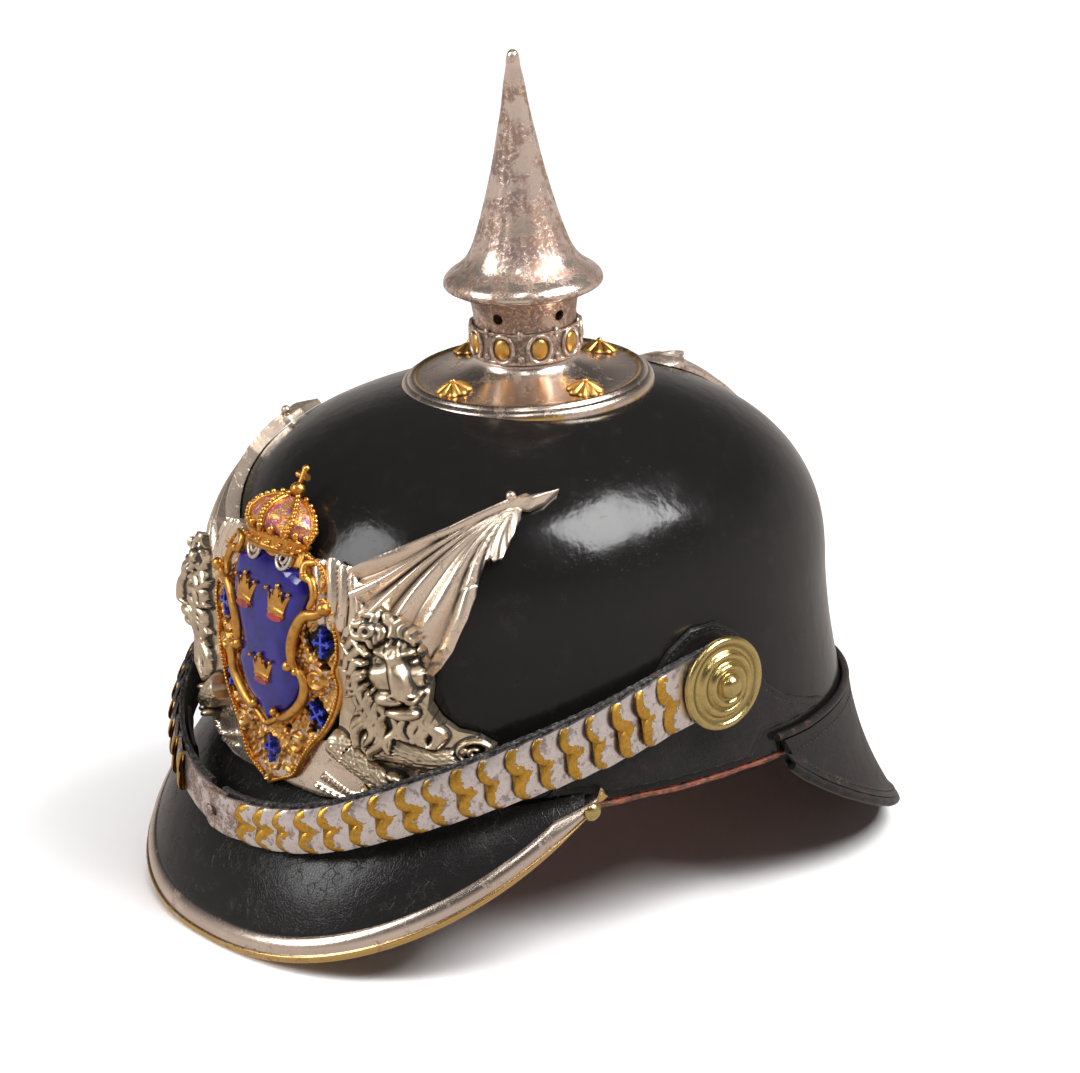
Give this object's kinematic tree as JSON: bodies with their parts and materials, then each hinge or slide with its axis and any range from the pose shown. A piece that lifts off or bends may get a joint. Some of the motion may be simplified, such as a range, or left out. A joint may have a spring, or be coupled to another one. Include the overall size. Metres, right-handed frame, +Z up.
{
  "type": "spiked leather parade helmet",
  "caption": "Black leather officer's parade helmet with a tall metal spike, an armorial front plate with lions and flags, and scaled chin strings.",
  "frame": {"origin": "middle of the underside of the object's box, on the surface that visor and neck guard rest on", "axes": "+Z up, -Y to the front over the visor, +X to the wearer's left"},
  "size_m": [0.2134, 0.2708, 0.2818],
  "materials": {
    "black_leather": "black lacquer, glossy, worn and finely crackled",
    "strap_leather": "black strap leather, worn dull",
    "brown_leather": "red-brown, matt, worn",
    "silver": "silvered, with brown and violet tarnish",
    "scale_silver": "silvered with worn gilt edges and violet tarnish",
    "gilt": "fire gilt, warm, darkened in its hollows",
    "brass": "pale polished brass with greenish tarnish",
    "blue_enamel": "translucent blue enamel over metal, glossy"
  },
  "bodies": {
    "root": {"base_plate": "silver", "boss_left": "brass", "boss_right": "brass", "cartouche": "gilt", "collar": "silver", "collar_band": "gilt", "crown": "gilt", "end_plate_left": "silver", "end_plate_right": "silver", "front_plate": "silver", "neck_guard": "black_leather", "neck_guard_binding": "black_leather", "neck_guard_welt": "black_leather", "rear_spine": "silver", "scales_left_1": "scale_silver", "scales_left_2": "scale_silver", "scales_left_3": "scale_silver", "scales_left_4": "scale_silver", "scales_left_5": "scale_silver", "scales_left_6": "scale_silver", "scales_right_1": "scale_silver", "scales_right_2": "scale_silver", "scales_right_3": "scale_silver", "scales_right_4": "scale_silver", "scales_right_5": "scale_silver", "shield": "blue_enamel", "shield_crown_1": "gilt", "shield_crown_2": "gilt", "shield_crown_3": "gilt", "side_patch_left": "black_leather", "side_patch_right": "black_leather", "skull": "black_leather", "spike": "silver", "star_stud_1": "gilt", "star_stud_2": "gilt", "star_stud_3": "gilt", "star_stud_4": "gilt", "strap_left": "strap_leather", "strap_right": "strap_leather", "sweatband": "brown_leather", "visor": "black_leather", "visor_rivet_left": "brass", "visor_rivet_right": "brass", "visor_trim": "silver"}
  },
  "joints": []
}
